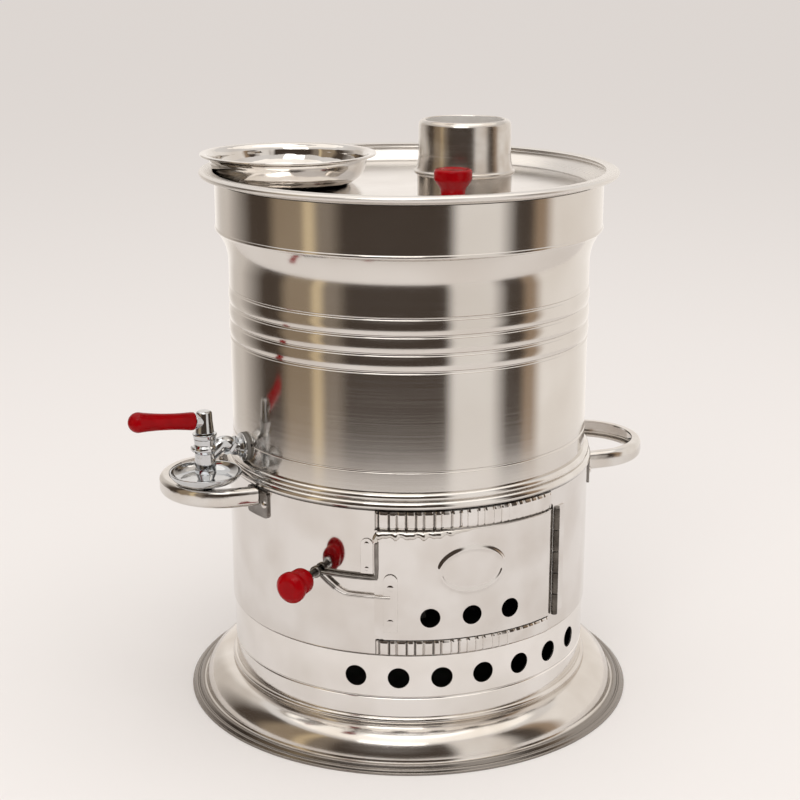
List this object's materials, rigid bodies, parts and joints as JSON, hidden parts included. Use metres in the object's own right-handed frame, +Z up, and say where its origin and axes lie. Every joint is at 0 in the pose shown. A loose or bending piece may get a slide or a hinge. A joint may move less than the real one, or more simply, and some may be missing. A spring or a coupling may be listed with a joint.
{
  "type": "samovar",
  "caption": "Portable wood-fired samovar: foot with vent holes, firebox with hinged door, water tank around a flue, side tap with drip cup, loop handles, lift-off lid, chimney collar and dish.",
  "frame": {"origin": "centre of the foot ring, on the surface it stands on", "axes": "+Z up along the drum's axis, -Y towards the fire door, -X towards the tap's side"},
  "size_m": [0.3323, 0.276, 0.357],
  "materials": {
    "satin_steel": "satin, brushed round the drum",
    "polished_steel": "bright polished sheet",
    "chrome_plate": "bright plate",
    "plain_steel": "drawn wire and rivets",
    "inner_steel": "unpolished inner sheet",
    "grate_iron": "rough cast",
    "red_plastic": "moulded, glossy",
    "seal_rubber": "plain",
    "brass_core": "turned"
  },
  "bodies": {
    "root": {"tank_shell": "satin_steel", "seam_bead": "satin_steel", "firebox_shell": "polished_steel", "vent_ring": "polished_steel", "base_flange": "polished_steel", "upper_crimp_strip": "polished_steel", "lower_crimp_strip": "polished_steel", "frame_hinge_leaf": "polished_steel", "door_catch": "polished_steel", "handle_plates": "polished_steel", "right_handle": "polished_steel", "left_handle": "polished_steel", "tap_body": "chrome_plate", "tap_escutcheon": "chrome_plate", "tap_hex_nut": "chrome_plate", "drip_cup": "chrome_plate", "gland_nut": "chrome_plate", "hinge_pin": "plain_steel", "handle_rivets": "plain_steel", "catch_rivets": "plain_steel", "tank_floor": "inner_steel", "flue_tube": "inner_steel", "ash_floor": "inner_steel", "grate_ring": "inner_steel", "grate": "grate_iron", "tap_gasket": "seal_rubber", "inner_gasket": "seal_rubber", "tap_locknut": "brass_core"},
    "fire_door": {"door_panel": "polished_steel", "door_arm": "plain_steel", "door_arm_rivets": "plain_steel", "knob_ferrule": "chrome_plate", "door_knob": "red_plastic"},
    "tap_key": {"tap_plug": "brass_core", "tap_lever": "chrome_plate", "lever_grip": "red_plastic"},
    "lid": {"lid": "polished_steel", "lid_knob": "red_plastic", "lid_knob_washer": "plain_steel", "lid_knob_screw": "plain_steel"},
    "chimney": {"chimney_collar": "polished_steel"},
    "dish": {"dish": "polished_steel"}
  },
  "joints": [
    {"name": "fire_door_hinge", "type": "hinge", "parent": "root", "child": "fire_door", "pos_m": [0.05747, -0.09718, 0.104], "axis": [0, 0, 1], "range_deg": [0, 100]},
    {"name": "tap_turn", "type": "hinge", "parent": "root", "child": "tap_key", "pos_m": [-0.13171, -0.01851, 0.165], "axis": [0, 0, 1], "range_deg": [-90, 90]},
    {"name": "lid_lift", "type": "slide", "parent": "root", "child": "lid", "axis": [0, 0, 1], "range_m": [0, 0.06]},
    {"name": "chimney_lift", "type": "slide", "parent": "lid", "child": "chimney", "axis": [0, 0, 1], "range_m": [0, 0.04]},
    {"name": "dish_lift", "type": "slide", "parent": "lid", "child": "dish", "axis": [0, 0, 1], "range_m": [0, 0.04]}
  ]
}
